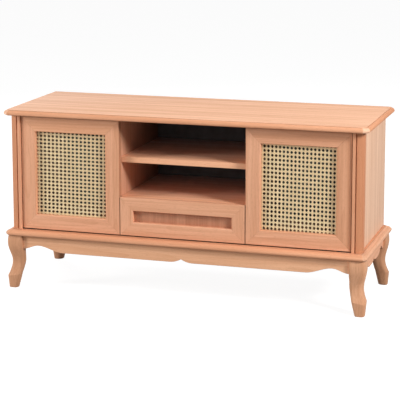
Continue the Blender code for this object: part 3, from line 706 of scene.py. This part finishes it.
def leg_heights(full):
    """Levels from the floor up, close together at the foot's edge and at the toe's ridge."""
    foot = LEG_FOOT_EASE * np.array(LEG_EASE_SHARES)
    below = np.linspace(LEG_FOOT_EASE, LEG_TOE_HEIGHT - LEG_RIDGE_HALF, LEG_RINGS_BELOW)[1:]
    ridge = LEG_TOE_HEIGHT + np.array(LEG_RIDGE_LEVELS)
    above = np.linspace(LEG_TOE_HEIGHT + LEG_RIDGE_HALF, full, LEG_RINGS_ABOVE)[1:]
    return np.concatenate([foot, below, ridge, above])


print(len(leg_heights(box_of("front_left_leg")[1][2])), "levels in a leg")


# %% [markdown]
# ## Rounding the legs
#
# The sawn leg is rounded over by hand. So each level is a square with rounded corners, which reaches
# out alike along X and Y, and the rounds change with the height. The toe's ridge climbs from the outer
# corner to the inner sides, as a carver leaves it. Each leg is of its own plank, and painted shade
# makes each darker than the doors, by its own amount, the rear right leg most.

# %% Carved legs
LEG_TOE_RISE = 0.006
LEG_ROUND_LEVELS = (0.0, 0.040, 0.100, 0.150, 0.180)
LEG_ROUNDS = (0.010, 0.010, 0.017, 0.008, 0.004)
LEG_EDGE_ROUNDS = (0.009, 0.009, 0.014, 0.007, 0.004)
LEG_INNER_ROUND = 0.024
LEG_CORNER_STEPS = 8
# Painted shade: each leg darker than the doors by its own amount, the rear right most.
LEG_SHADE_TINTS = {"front_left": (0.79, 0.79, 0.74), "front_right": (0.88, 0.90, 0.86),
             "rear_left": (0.80, 0.77, 0.72), "rear_right": (0.71, 0.70, 0.65)}


def carved_leg(node, sign_x, sign_y, tint):
    """Rounded squares from the block's inner corner outwards, one for each level. Away from the outer
    corner a level rises, most at the toe's ridge and not at all at the floor and the ankle."""
    low, high = box_of(node)
    corner_x = (high[0] if sign_x > 0 else low[0]) - sign_x * LEG_TOE_OUT
    corner_y = (high[1] if sign_y > 0 else low[1]) - sign_y * LEG_TOE_OUT
    heights = leg_heights(high[2])
    out, inner = leg_reach(heights, high[2])
    broken = np.clip(1.0 - heights / LEG_FOOT_EASE, 0.0, 1.0)
    draw = LEG_FOOT_EASE * (1 - np.sqrt(1 - broken ** 2))
    turn = np.linspace(0.0, math.pi / 2, LEG_CORNER_STEPS + 1)
    turns = (np.arange(4)[:, None] * math.pi / 2 + turn).ravel()
    far_x = np.repeat([True, False, False, True], len(turn))
    far_y = np.repeat([True, True, False, False], len(turn))
    outer_round = np.interp(heights, LEG_ROUND_LEVELS, LEG_ROUNDS)
    edge = np.interp(heights, LEG_ROUND_LEVELS, LEG_EDGE_ROUNDS)
    inner_round = np.minimum(LEG_INNER_ROUND, (out - inner) / 2)
    rounds = np.stack([outer_round, edge, inner_round, edge], axis=1)
    radius = np.repeat(rounds, len(turn), axis=1)
    wide = (out - draw)[:, None]
    near = (inner + draw)[:, None]
    reach_x = np.where(far_x, wide - radius, near + radius) + radius * np.cos(turns)
    reach_y = np.where(far_y, wide - radius, near + radius) + radius * np.sin(turns)
    away = (wide - np.minimum(reach_x, reach_y)) / (wide - near)
    climb = np.interp(heights, [LEG_FOOT_EASE, LEG_TOE_HEIGHT, LEG_ANKLE_HEIGHT], [0.0, 1.0, 0.0])
    levels = heights[:, None] + LEG_TOE_RISE * climb[:, None] * ease(away)
    rings = np.stack([corner_x + sign_x * reach_x, corner_y + sign_y * reach_y, levels], axis=-1)
    return wooden_piece(node, rings, "ZXY", beech, tint, flat_over=1.0)


for end, sign_y in (("front", -1.0), ("rear", 1.0)):
    for side, sign_x in (("left", -1.0), ("right", 1.0)):
        piece = carved_leg(f"{end}_{side}_leg", sign_x, sign_y, LEG_SHADE_TINTS[f"{end}_{side}"])
        print(piece.name, len(piece.data.polygons), "faces")


# %% [markdown]
# ## Scalloped aprons
#
# Between the legs run thin boards whose lower edge is sawn in a scallop: a rise to a crest beside the
# leg, a fall to the long straight edge, and a small pointed notch in the middle. A flat outline could
# be extruded, but its sawn edge would stay sharp. So the board is a rounded section carried along the
# run, whose lower half moves up and down with the scallop. The front apron is tinted paler, as painted
# light.

# %% Aprons
APRON_BOTTOM = 0.125
APRON_END_RISE = 0.0056
APRON_CREST_RISE = 0.019
NOTCH_RISE = 0.0106
NOTCH_HALF_WIDTH = 0.038
APRON_EASE = 0.0016
APRON_STATION = 0.0025
# Painted light: the front apron paler than the other aprons.
FRONT_APRON_LIGHT_TINT = (1.08, 1.15, 1.12)
FRONT_SCALLOP = (0.0525, 0.085)
SIDE_SCALLOP = (0.0315, 0.056)


def scallop(along, length, crest_inset, curve_length):
    """Height of the lower edge: ease up to the crest, ease down to the bottom, level, then the notch's
    square law up to its point, alike from both ends."""
    from_end = np.minimum(along, length - along)
    climb = ease(np.clip(from_end / crest_inset, 0.0, 1.0))
    fall = ease(np.clip((from_end - crest_inset) / curve_length, 0.0, 1.0))
    notch = np.clip(1.0 - (length / 2 - from_end) / NOTCH_HALF_WIDTH, 0.0, 1.0)
    rise = APRON_END_RISE + (APRON_CREST_RISE - APRON_END_RISE) * climb
    return APRON_BOTTOM + rise - APRON_CREST_RISE * fall + NOTCH_RISE * notch ** 2


def apron(node, run, shape):
    """A rounded rectangle at every station, with its lower half moved to the scallop's height."""
    low, high = box_of(node)
    depth_axis = 1 - run
    length = high[run] - low[run]
    along = np.linspace(0.0, length, 2 * round(length / APRON_STATION / 2) + 1)
    section = rounded([(low[depth_axis], low[2]), (high[depth_axis], low[2]),
                       (high[depth_axis], high[2]), (low[depth_axis], high[2])], APRON_EASE)
    lower = section[:, 1] < (low[2] + high[2]) / 2
    edge = scallop(along, length, *shape)
    rings = np.empty((len(along), len(section), 3))
    rings[:, :, run] = (low[run] + along)[:, None]
    rings[:, :, depth_axis] = section[:, 0]
    rings[:, :, 2] = section[:, 1] + np.where(lower, (edge - low[2])[:, None], 0.0)
    # Painted light on the front apron.
    tint = FRONT_APRON_LIGHT_TINT if node == "front_apron" else BEECH_TINT
    return wooden_piece(node, rings, AXES[run] + "Z" + AXES[depth_axis], beech, tint)


for node, run, shape in (("front_apron", 0, FRONT_SCALLOP), ("left_apron", 1, SIDE_SCALLOP),
                         ("right_apron", 1, SIDE_SCALLOP)):
    piece = apron(node, run, shape)
    print(piece.name, len(piece.data.polygons), "faces")


# %% [markdown]
# ## Mitred frames
#
# Each door, and the drawer's front, is a frame of four bars that meet at 45 degrees. A bar's section
# has a bevel towards the opening and a rebate behind it, which holds the cane or the panel. The same
# rounded section stands at both ends, and each of its points is set back from the end by as much as
# it lies in from the outer edge: that is a mitre. Most outer edges carry painted shade, which makes the
# gaps around the frames dark. Two bars are tinted apart: the left door's top rail paler, as painted
# light, and the right door's outer stile darker, as painted shade.

# %% Door and drawer frames
REBATE_WIDTH = 0.008
DOOR_FRAME, DOOR_BEVEL, CANE_SETBACK = 0.0475, 0.0025, 0.0125
DRAWER_FRAME, DRAWER_BEVEL, RECESS_DEPTH = 0.043, 0.002, 0.014
SECTION_ROUNDS = (0.0007, 0.0008, 0.0008, 0.0004, 0.0003, 0.0004, 0.0010)
# Painted shade on the bars' outer edges towards the gaps, less on inner stiles; painted light on one bar,
# painted shade on another.
GAP_SHADE_REACH = 0.0003
GAP_SHADE_TINT = (0.40, 0.36, 0.33)
GAP_SHADE_BY_PART = {"top_rail": BEECH_TINT, "inner_stile": (0.62, 0.57, 0.53)}
BAR_LIGHT_AND_SHADE_TINTS = {"left_door_top_rail": (1.08, 1.10, 1.08), "right_door_outer_stile": (0.87, 0.85, 0.82)}


def frame_section(width, bevel, ledge, thickness):
    """A bar cut across, as (distance in from the outer edge, depth)."""
    rebate = width - REBATE_WIDTH
    return rounded([(0.0, 0.0), (width - bevel, 0.0), (width, bevel), (width, ledge), (rebate, ledge),
                    (rebate, thickness), (0.0, thickness)], SECTION_ROUNDS)


def mitred_bar(node, section, edge, edge_shade):
    """One bar of a frame. edge names its outer edge; the run is along it, and inward is away from it.
    The outer edge has a tint of its own: painted shade on most bars."""
    low, high = box_of(node)
    upright = edge in ("left", "right")
    run, across = (2, 0) if upright else (0, 2)
    inward = 1.0 if edge in ("left", "bottom") else -1.0
    outer = low[across] if inward > 0 else high[across]
    rings = np.empty((2, len(section), 3))
    rings[:, :, across] = outer + inward * section[:, 0]
    rings[:, :, 1] = low[1] + section[:, 1]
    rings[0, :, run] = low[run] + section[:, 0]
    rings[1, :, run] = high[run] - section[:, 0]
    # Painted shade on the outer edge, painted light on the left door's top rail and painted shade on the
    # right door's outer stile.
    tint = np.where(section[:, :1] < GAP_SHADE_REACH, edge_shade, BAR_LIGHT_AND_SHADE_TINTS.get(node, BEECH_TINT))
    return wooden_piece(node, rings, "ZXY" if upright else "XZY", beech, np.tile(tint, (2, 1)))


door_low, door_high = box_of("left_door_outer_stile")
door_section = frame_section(DOOR_FRAME, DOOR_BEVEL, CANE_SETBACK, door_high[1] - door_low[1])
for side, outer, inner in (("left", "left", "right"), ("right", "right", "left")):
    bars = {"outer_stile": outer, "inner_stile": inner, "top_rail": "top", "bottom_rail": "bottom"}
    for part, edge in bars.items():
        mitred_bar(f"{side}_door_{part}", door_section, edge, GAP_SHADE_BY_PART.get(part, GAP_SHADE_TINT))
drawer_section = frame_section(DRAWER_FRAME, DRAWER_BEVEL, RECESS_DEPTH, door_high[1] - door_low[1])
bars = {"left_stile": "left", "right_stile": "right", "top_rail": "top", "bottom_rail": "bottom"}
for part, edge in bars.items():
    mitred_bar(f"drawer_front_{part}", drawer_section, edge, GAP_SHADE_BY_PART.get(part, GAP_SHADE_TINT))
print(len(wooden_pieces), "wooden pieces")


# %% [markdown]
# ## Cane webbing
#
# Cane webbing is woven from thin glossy strips of rattan bark: upright pairs, level pairs and two sets
# of diagonals, which leave a round hole in every square. A picture of holes would look painted from
# close by, so every strand is a real ribbon with a crowned face. Its depth follows a cosine along its
# run, so it passes over and under the others.

# %% Cane strands
STRAND_WIDTH = 0.00175
STRAND_THICKNESS = 0.00042
PAIR_SPACING = 0.0018
PAIR_WAVE = 0.00024
DIAGONAL_WAVE = 0.00050
LEAST_STATIONS = 3
STRAND_PROFILE = np.array([(-1.0, 0.5), (-0.72, -0.28), (0.0, -0.5), (0.72, -0.28), (1.0, 0.5)])


def ribbon(path, sideways, number):
    """A crowned strip along a path. Its section is the strand's profile, spread along sideways and Y."""
    across = STRAND_PROFILE[:, :1] * STRAND_WIDTH / 2 * sideways
    across[:, 1] += STRAND_PROFILE[:, 1] * STRAND_THICKNESS
    rings = path[:, None, :] + across[None, :, :]
    length = np.concatenate([[0.0], np.cumsum(np.linalg.norm(np.diff(path, axis=0), axis=1))])
    strand = np.empty(rings.shape)
    strand[:, :, 0] = length[:, None]
    strand[:, :, 1] = STRAND_PROFILE[:, 0]
    strand[:, :, 2] = number
    return rings, strand.reshape(-1, 3)


def pair_paths(low, high, pitch, origin, y, run):
    """Two strands beside each line of the grid. Depth: a cosine of two pitches, shifted on every line."""
    across = 2 - run
    lines = np.arange(math.ceil((low[across] - origin[across]) / pitch[across]),
                      math.floor((high[across] - origin[across]) / pitch[across]) + 1)
    stations = np.arange(low[run], high[run] + pitch[run] / 4, pitch[run] / 2)
    swing = PAIR_WAVE if run == 2 else -PAIR_WAVE
    sideways = np.zeros(3)
    sideways[across] = 1.0
    for line in lines:
        for side in (-0.5, 0.5):
            path = np.empty((len(stations), 3))
            path[:, across] = origin[across] + line * pitch[across] + side * PAIR_SPACING
            path[:, run] = stations
            path[:, 1] = y + swing * np.cos(math.pi * ((stations - origin[run]) / pitch[run] + line))
            yield path, sideways


def diagonal_paths(low, high, pitch, origin, y, lean):
    """Strands through the middles of the squares' sides. Depth: a cosine of one pitch, front or back."""
    slope = lean * pitch[2] / pitch[0]
    sideways = np.array([-slope, 0.0, 1.0]) / math.hypot(slope, 1.0)
    reach = math.ceil((high[0] - low[0]) / pitch[0] + (high[2] - low[2]) / pitch[2]) + 2
    for line in np.arange(-reach, reach) + 0.5:
        stations = np.arange(low[0], high[0] + pitch[0] / 8, pitch[0] / 4)
        level = origin[2] + line * pitch[2] + slope * (stations - origin[0])
        inside = (level > low[2]) & (level < high[2])
        if inside.sum() < LEAST_STATIONS:
            continue
        path = np.stack([stations, np.zeros(len(stations)), level], axis=1)[inside]
        path[:, 1] = y - lean * DIAGONAL_WAVE * np.cos(2 * math.pi * (path[:, 0] - origin[0]) / pitch[0])
        yield path, sideways


print("strands", round(1000 * STRAND_WIDTH, 2), "mm wide")


# %% [markdown]
# ## Cane sheets
#
# Rattan bark is straw-coloured and glossy, and no two strips have quite the same shade. A mesh for each
# strand would be hundreds of objects, so one door's sheet is one mesh, and each strand carries a number
# that the finish turns into its shade. The right door's sheet is turned by a quarter, and both sit about
# a degree askew in their frames.

# %% Cane sheets
CANE_PITCH = {"left": (0.01382, 0.01237), "right": (0.01233, 0.01369)}
CANE_START = {"left": (-0.19, 0.24), "right": (0.50, 0.69)}
CANE_SKEW = {"left": (0.010, 0.011), "right": (0.005, 0.022)}
CANE_HIDDEN = 0.0035
CANE_COLOURS = ((0.98, 0.80, 0.50, 1.0), (0.81, 0.585, 0.30, 1.0))
OWN_SHADE, PATCH_SHADE, FIBRE_SHADE = 0.35, 0.55, 0.12
STRAND_SMOOTH = math.radians(60)


def cane_material():
    """Straw-coloured bark: each strand has its own shade, with darker nodes and fine lengthwise fibres."""
    material, tree, shader = new_material("cane_strands")
    strand = socket(tree, "ShaderNodeAttribute", {}, "Vector", attribute_name="strand")
    parts = tree.nodes.new("ShaderNodeSeparateXYZ")
    tree.links.new(strand, parts.inputs[0])
    number = parts.outputs[2]
    chance = socket(tree, "ShaderNodeTexWhiteNoise", {"W": number}, "Value", noise_dimensions="1D")
    fibres = noise(tree, strand, (60.0, 3.0, 7.3))
    patches = noise(tree, strand, (9.0, 0.2, 3.1))
    own = maths(tree, "MULTIPLY", chance, OWN_SHADE)
    shade = maths(tree, "ADD", own, maths(tree, "MULTIPLY", patches, PATCH_SHADE))
    fine = spread(tree, fibres, MOST_NOISE, (-FIBRE_SHADE, FIBRE_SHADE))
    colour = mixed(tree, maths(tree, "ADD", shade, fine, clamp=True), *CANE_COLOURS)
    gloss = spread(tree, fibres, NOISE_RANGE, (0.32, 0.5))
    link_finish(tree, shader, colour, gloss, fibres, strength=0.2, depth=0.0002)
    return material


def cane_webbing(side):
    """All strands of one door's sheet in one mesh, each with its own number for the finish. Skew about
    the centre: x gains the lean times the height, and z loses the fall times the width."""
    node = f"{side}_door_cane"
    low, high = box_of(node)
    trim = REBATE_WIDTH - CANE_HIDDEN
    low, high = low + trim, high - trim
    y = (low[1] + high[1]) / 2
    pitch = np.array([CANE_PITCH[side][0], 0.0, CANE_PITCH[side][1]])
    origin = (low + high) / 2 + pitch * np.array([CANE_START[side][0], 0.0, CANE_START[side][1]])
    sheet = (low, high, pitch, origin, y)
    paths = [*pair_paths(*sheet, 2), *pair_paths(*sheet, 0), *diagonal_paths(*sheet, 1.0),
             *diagonal_paths(*sheet, -1.0)]
    places, faces, marks, total = [], [], [], 0
    for number, (path, sideways) in enumerate(paths):
        rings, strand = ribbon(path, sideways, number)
        points, quads, caps = skin(rings)
        places.append(points)
        faces.extend((quads + total).tolist() + (caps + total).tolist())
        marks.append(strand)
        total += len(points)
    lean, fall = CANE_SKEW[side]
    skew = np.array([(1.0, 0.0, lean), (0.0, 1.0, 0.0), (-fall, 0.0, 1.0)])
    centre = (low + high) / 2
    places = centre + (np.concatenate(places) - centre) @ skew.T
    mesh = bpy.data.meshes.new(f"{side}_cane_weave")
    mesh.from_pydata(places.tolist(), [], faces)
    mesh.polygons.foreach_set("use_smooth", np.ones(len(mesh.polygons), dtype=bool))
    mesh.set_sharp_from_angle(angle=STRAND_SMOOTH)
    store_vectors(mesh, "strand", np.concatenate(marks))
    return place_piece(f"{side}_cane_weave", mesh, cane, "cane", node), len(paths)


cane = cane_material()
for side in ("left", "right"):
    piece, strands = cane_webbing(side)
    print(piece.name, strands, "strands,", len(piece.data.polygons), "faces")


# %% [markdown]
# ## Boards, steel and plastic
#
# What stays hidden until a door or the drawer opens is plain factory work: dark hardboard behind the
# case and under the drawer, zinc-plated runners, blackened pivots and black push latches. The
# hardboard gets broken edges like the other boards. The steel and plastic nodes have the right shape
# already, so they stay as they are and only get their finish.

# %% Hidden finishes
def hardboard_material():
    """Pressed fibres: a dark mottle with a fine tooth, summed and carried between two shades."""
    material, tree, shader = new_material("dark_hardboard")
    place = socket(tree, "ShaderNodeTexCoord", {}, "Object")
    mottle = noise(tree, place, (35.0, 35.0, 35.0), detail=4.0)
    tooth = noise(tree, place, (900.0, 900.0, 900.0))
    shade = maths(tree, "ADD", maths(tree, "MULTIPLY", mottle, 0.7), maths(tree, "MULTIPLY", tooth, 0.3))
    colour = mixed(tree, shade, (0.072, 0.062, 0.060, 1.0), (0.036, 0.031, 0.030, 1.0))
    gloss = spread(tree, mottle, MOST_NOISE, (0.62, 0.82))
    link_finish(tree, shader, colour, gloss, tooth, strength=0.3, depth=0.0004)
    return material


def steel_material(name, pale, dark):
    """Rolled strip: lengthwise brushing and a cloudy plating between two shades."""
    material, tree, shader = new_material(name)
    place = socket(tree, "ShaderNodeTexCoord", {}, "Object")
    brushing = noise(tree, place, (1500.0, 18.0, 1500.0))
    cloud = noise(tree, place, (40.0, 40.0, 40.0), detail=3.0)
    colour = mixed(tree, cloud, pale, dark)
    gloss = spread(tree, brushing, NOISE_RANGE, (0.26, 0.44))
    link_finish(tree, shader, colour, gloss, brushing, strength=0.12, depth=0.0002)
    shader.inputs["Metallic"].default_value = 1.0
    return material


def plastic_material():
    """Moulded black plastic with a fine spark-eroded texture."""
    material, tree, shader = new_material("black_plastic")
    place = socket(tree, "ShaderNodeTexCoord", {}, "Object")
    texture = noise(tree, place, (1800.0, 1800.0, 1800.0))
    colour = mixed(tree, texture, (0.012, 0.012, 0.013, 1.0), (0.022, 0.022, 0.024, 1.0))
    gloss = spread(tree, texture, MOST_NOISE, (0.42, 0.56))
    link_finish(tree, shader, colour, gloss, texture, strength=0.25, depth=0.0003)
    return material


hardboard = hardboard_material()
for node, grain in (("back_panel", "XZY"), ("drawer_bottom", "XYZ")):
    eased_board(node, grain, hardboard, THIN_EASE, "board")
hardware = {
    "runner": steel_material("zinc_plated_steel", (0.70, 0.71, 0.73, 1.0), (0.56, 0.57, 0.58, 1.0)),
    "pivot": steel_material("blackened_steel", (0.05, 0.05, 0.052, 1.0), (0.03, 0.03, 0.03, 1.0)),
    "latch": plastic_material(),
}
for node, item in frame["nodes"].items():
    for word, finish in hardware.items():
        if word in node:
            item.data.materials.clear()
            item.data.materials.append(finish)
            print(node, "gets", finish.name)


# %% [markdown]
# ## Light and floor
#
# The console stands on a plain white floor between two large lights, far to the left and right of its
# front, the right one higher. Their crossed light leaves a bright wedge on each wall of the open bay.
# Weak lights low in front, overhead and behind and an even fill soften the rest. The level is set
# so that a colour renders about as it is written. For the camera and for reflections the floor also
# glows, which turns it white without lighting the console more, and the part that stays diffuse keeps
# the console's shadow.

# %% Studio
WORLD_FILL = 0.20
LIGHT_AIM = Vector((0.0, 0.0, 0.3))
LIGHTS = {
    "left_front": (103.0, 1.1, (-3.90, -2.05, 1.28)),
    "right_front": (146.0, 1.0, (3.52, -1.85, 2.52)),
    "low_front": (11.0, 2.0, (-0.40, -4.40, 0.90)),
    "overhead": (20.0, 1.6, (0.3, 0.5, 3.1)),
    "rear": (24.0, 1.4, (-2.4, 2.7, 1.7)),
}
FLOOR_SIZE = 60.0
FLOOR_COLOUR = (0.30, 0.30, 0.30, 1.0)
FLOOR_GLOW = 0.90


def seen_rays(tree):
    """1 for camera, glossy and transmission rays, 0 for the light that falls on things."""
    path = tree.nodes.new("ShaderNodeLightPath")
    seen = maths(tree, "MAXIMUM", path.outputs["Is Camera Ray"], path.outputs["Is Glossy Ray"])
    return maths(tree, "MAXIMUM", seen, path.outputs["Is Transmission Ray"])


def make_world():
    """White where it is seen, and an even fill where it lights."""
    world = bpy.data.worlds.new("studio")
    bpy.context.scene.world = world
    world.use_nodes = True
    tree = world.node_tree
    strength = spread(tree, seen_rays(tree), (0.0, 1.0), (WORLD_FILL, 1.0))
    tree.links.new(strength, tree.nodes["Background"].inputs["Strength"])
    tree.nodes["Background"].inputs["Color"].default_value = (1.0, 1.0, 1.0, 1.0)


def make_light(name, power, size, place):
    """One large square light, aimed at the console."""
    data = bpy.data.lights.new(name, "AREA")
    data.energy = power
    data.size = size
    lamp = bpy.data.objects.new(name, data)
    bpy.context.scene.collection.objects.link(lamp)
    turn = (LIGHT_AIM - Vector(place)).to_track_quat("-Z", "Y")
    lamp.matrix_world = Matrix.Translation(place) @ turn.to_matrix().to_4x4()


def make_floor():
    """A wide square at floor level: diffuse, plus a glow that only seen rays meet."""
    half = FLOOR_SIZE / 2
    mesh = bpy.data.meshes.new("floor")
    mesh.from_pydata([(-half, -half, 0.0), (half, -half, 0.0), (half, half, 0.0), (-half, half, 0.0)], [],
                     [(0, 1, 2, 3)])
    material, tree, shader = new_material("white_floor")
    shader.inputs["Base Color"].default_value = FLOOR_COLOUR
    shader.inputs["Roughness"].default_value = 1.0
    shader.inputs["Specular IOR Level"].default_value = 0.0
    shader.inputs["Emission Color"].default_value = (1.0, 1.0, 1.0, 1.0)
    glow = maths(tree, "MULTIPLY", seen_rays(tree), FLOOR_GLOW)
    tree.links.new(glow, shader.inputs["Emission Strength"])
    mesh.materials.append(material)
    floor = bpy.data.objects.new("floor", mesh)
    bpy.context.scene.collection.objects.link(floor)
    floor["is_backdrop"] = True


make_world()
for name, (power, size, place) in LIGHTS.items():
    make_light(name, power, size, place)
make_floor()
bpy.context.scene.view_settings.view_transform = "Standard"
print(len(LIGHTS), "lights, fill", WORLD_FILL)


# %% [markdown]
# ## The finished box
#
# The dressed console has to stay as large as the CAD model, so both boxes are printed.

# %% Measure and finish
boxes = {"cad": [list(corner) for corner in cad_box], "visual": [list(corner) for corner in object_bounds()]}
print("CAD box", boxes["cad"])
print("dressed box", boxes["visual"])
